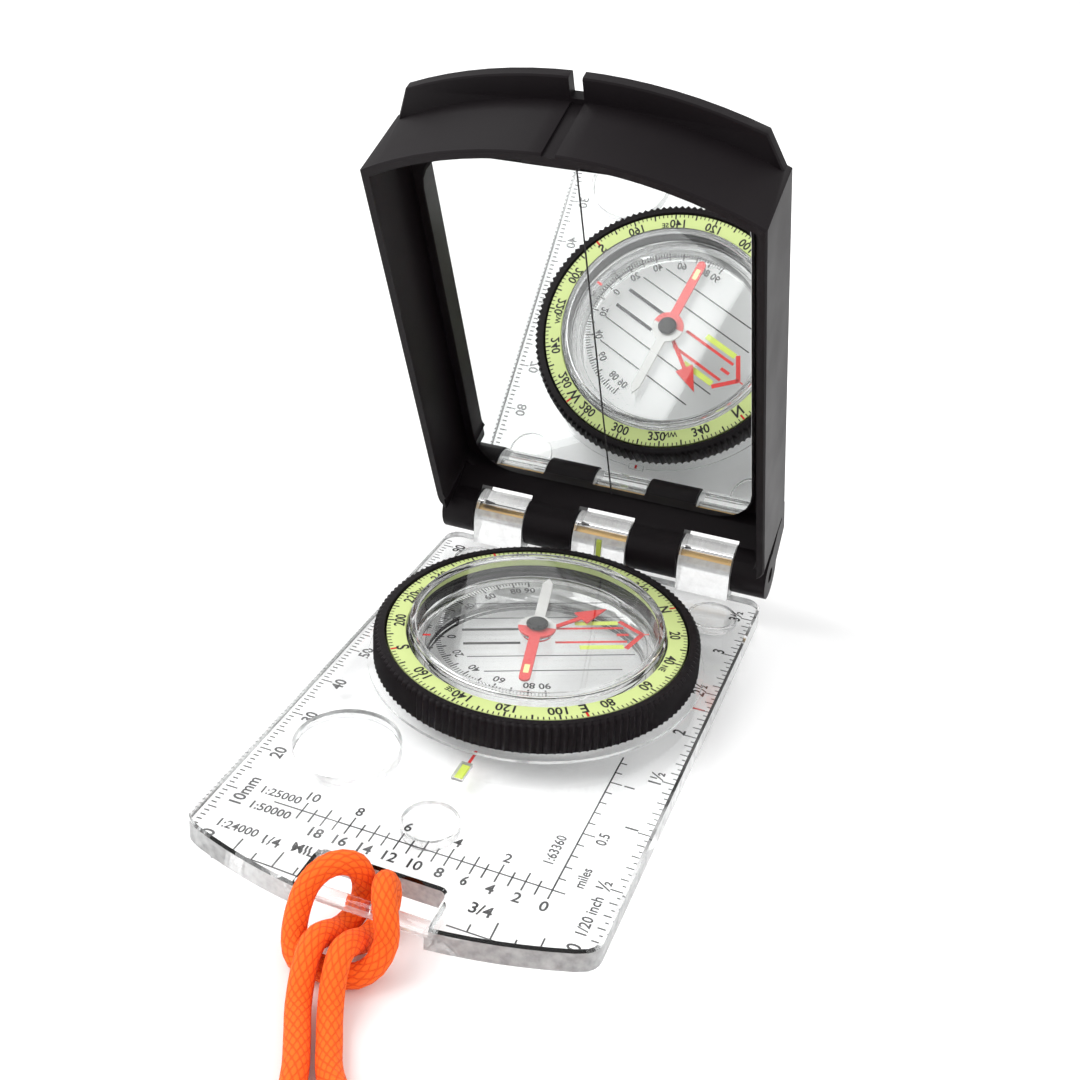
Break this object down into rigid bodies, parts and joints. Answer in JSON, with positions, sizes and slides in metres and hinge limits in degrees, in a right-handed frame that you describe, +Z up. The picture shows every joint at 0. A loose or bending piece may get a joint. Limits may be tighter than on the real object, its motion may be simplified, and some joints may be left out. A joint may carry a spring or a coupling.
{
  "type": "sighting compass",
  "caption": "Folding sighting compass: clear map plate with lens and scales, turning dial, needle and clinometer in a capsule, hinged mirror cover, and a cord lanyard.",
  "frame": {"origin": "middle of the compass's box, on the surface that its feet stand on, lanyard left out", "axes": "+Z up; +Y from the lanyard end of the plate towards the hinge; +X to the right of someone who sights along +Y"},
  "size_m": [0.0829, 0.1894, 0.1067],
  "materials": {
    "clear_acrylic": "glossy, transparent",
    "printed_film": "clear with printed lines",
    "black_plastic": "fine satin",
    "grey_silicone": "matte",
    "luminous_plastic": "matte",
    "spring_steel": "polished",
    "brass": "satin",
    "green_dial_plastic": "matte, printed",
    "red_paint": "satin",
    "needle_paint": "painted, one half red",
    "mirror_glass": "polished",
    "adhesive_foam": "matte",
    "orange_cord": "braided"
  },
  "bodies": {
    "base": {"baseplate": "clear_acrylic", "front_foot": "grey_silicone", "rear_left_foot": "grey_silicone", "rear_right_foot": "grey_silicone", "magnifier_lens": "clear_acrylic", "near_index_lume": "luminous_plastic", "far_index_lume": "luminous_plastic", "detent_spring": "spring_steel", "hinge_pin": "brass", "lanyard_left": "orange_cord", "lanyard_right": "orange_cord", "lanyard_coil": "orange_cord", "lanyard_knot": "orange_cord"},
    "dial": {"bezel": "black_plastic", "dial_ring": "green_dial_plastic", "capsule_cup": "clear_acrylic", "capsule_lid": "clear_acrylic", "capsule_retainer": "black_plastic", "pivot_pin": "spring_steel"},
    "orienting": {"orienting_disc": "printed_film"},
    "clinometer": {"clinometer_pointer": "red_paint"},
    "needle_body": {"needle": "needle_paint", "needle_magnet": "spring_steel", "needle_cap": "black_plastic"},
    "cover": {"cover_shell": "black_plastic", "mirror": "mirror_glass", "mirror_pad": "adhesive_foam"}
  },
  "joints": [
    {"name": "bezel_turn", "type": "hinge", "parent": "base", "child": "dial", "pos_m": [0, 0.00987, 0.0097], "axis": [0, 0, 1], "continuous": true},
    {"name": "declination_turn", "type": "hinge", "parent": "dial", "child": "orienting", "pos_m": [0, 0.00987, 0.01005], "axis": [0, 0, 1], "range_deg": [-76.8, 103.2]},
    {"name": "clinometer_swing", "type": "hinge", "parent": "dial", "child": "clinometer", "pos_m": [0, 0.00987, 0.01075], "axis": [0, 0, 1], "continuous": true},
    {"name": "needle_swing", "type": "hinge", "parent": "dial", "child": "needle_body", "pos_m": [0, 0.00987, 0.012], "axis": [0, 0, 1], "continuous": true},
    {"name": "cover_hinge", "type": "hinge", "parent": "base", "child": "cover", "pos_m": [0, 0.04637, 0.01125], "axis": [1, 0, 0], "range_deg": [-113.6, 66.4]}
  ]
}
